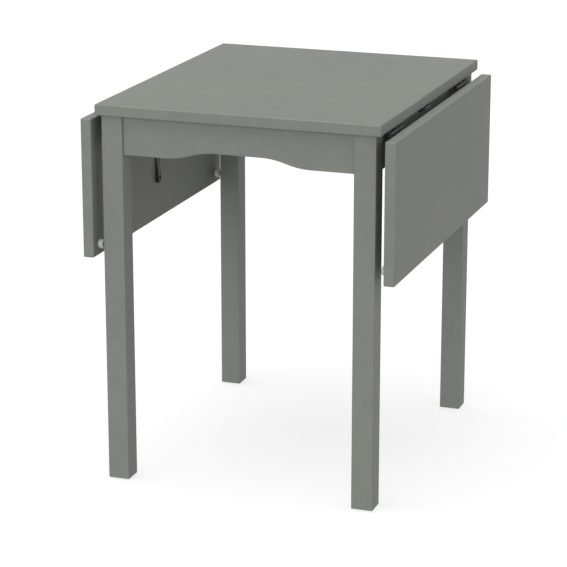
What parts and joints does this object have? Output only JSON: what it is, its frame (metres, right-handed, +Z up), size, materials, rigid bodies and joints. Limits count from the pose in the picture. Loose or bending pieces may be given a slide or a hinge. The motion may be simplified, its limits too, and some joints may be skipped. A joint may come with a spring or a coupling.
{
  "type": "drop-leaf table",
  "caption": "Small square-legged drop-leaf table: fixed top, scalloped aprons, a hinged leaf hanging at each side and a pull-out bar under each leaf.",
  "frame": {"origin": "on the floor, under the middle of the top", "axes": "+Z up; +X to the right leaf's side; -Y is the front, and the hinges and bars stand 20 mm nearer to it than to the rear"},
  "size_m": [0.6216, 0.674, 0.75],
  "materials": {
    "painted_wood": "satin grey-green paint on wood",
    "beech_dowel": "raw beech",
    "black_steel": "black coated steel",
    "zinc_steel": "zinc plated steel",
    "steel_bar": "drawn steel flat bar",
    "black_plastic": "moulded black plastic",
    "bumper_rubber": "translucent grey elastomer"
  },
  "bodies": {
    "frame": {"table_top": "painted_wood", "apron_front": "painted_wood", "apron_rear": "painted_wood", "apron_left": "painted_wood", "apron_right": "painted_wood", "leg_front_left": "painted_wood", "leg_front_right": "painted_wood", "leg_rear_left": "painted_wood", "leg_rear_right": "painted_wood", "corner_plate_front_left": "zinc_steel", "corner_plate_front_right": "zinc_steel", "corner_plate_rear_left": "zinc_steel", "corner_plate_rear_right": "zinc_steel", "hanger_bolts": "zinc_steel", "hanger_washers": "zinc_steel", "hanger_nuts": "zinc_steel", "corner_screws": "zinc_steel", "apron_dowels": "beech_dowel", "top_brackets": "zinc_steel", "top_bracket_screws": "zinc_steel", "foot_glides": "black_plastic", "hinge_plate_front_left": "black_steel", "hinge_plate_rear_left": "black_steel", "hinge_plate_front_right": "black_steel", "hinge_plate_rear_right": "black_steel", "hinge_pins": "zinc_steel", "hinge_plate_screws": "zinc_steel", "bar_sleeve_left": "black_plastic", "bar_sleeve_right": "black_plastic", "bar_guide_left": "black_plastic", "bar_guide_right": "black_plastic", "bar_guide_screws": "zinc_steel"},
    "left_leaf": {"leaf_left": "painted_wood", "hinge_flap_front_left": "black_steel", "hinge_flap_rear_left": "black_steel", "hinge_flap_screws_left": "zinc_steel", "wedge_left": "black_plastic", "wedge_screws_left": "zinc_steel", "bumpers_left": "bumper_rubber", "bumper_screws_left": "zinc_steel"},
    "right_leaf": {"leaf_right": "painted_wood", "hinge_flap_front_right": "black_steel", "hinge_flap_rear_right": "black_steel", "hinge_flap_screws_right": "zinc_steel", "wedge_right": "black_plastic", "wedge_screws_right": "zinc_steel", "bumpers_right": "bumper_rubber", "bumper_screws_right": "zinc_steel"},
    "left_bar": {"support_bar_left": "steel_bar", "bar_knob_left": "black_plastic", "knob_screw_left": "zinc_steel"},
    "right_bar": {"support_bar_right": "steel_bar", "bar_knob_right": "black_plastic", "knob_screw_right": "zinc_steel"}
  },
  "joints": [
    {"name": "leaf_left_hinge", "type": "hinge", "parent": "frame", "child": "left_leaf", "pos_m": [-0.2823, 0, 0.7215], "axis": [0, 1, 0], "range_deg": [0, 90]},
    {"name": "leaf_right_hinge", "type": "hinge", "parent": "frame", "child": "right_leaf", "pos_m": [0.2823, 0, 0.7215], "axis": [0, -1, 0], "range_deg": [0, 90]},
    {"name": "bar_left_slide", "type": "slide", "parent": "frame", "child": "left_bar", "axis": [-1, 0, 0], "range_m": [0, 0.156]},
    {"name": "bar_right_slide", "type": "slide", "parent": "frame", "child": "right_bar", "axis": [1, 0, 0], "range_m": [0, 0.156]}
  ]
}
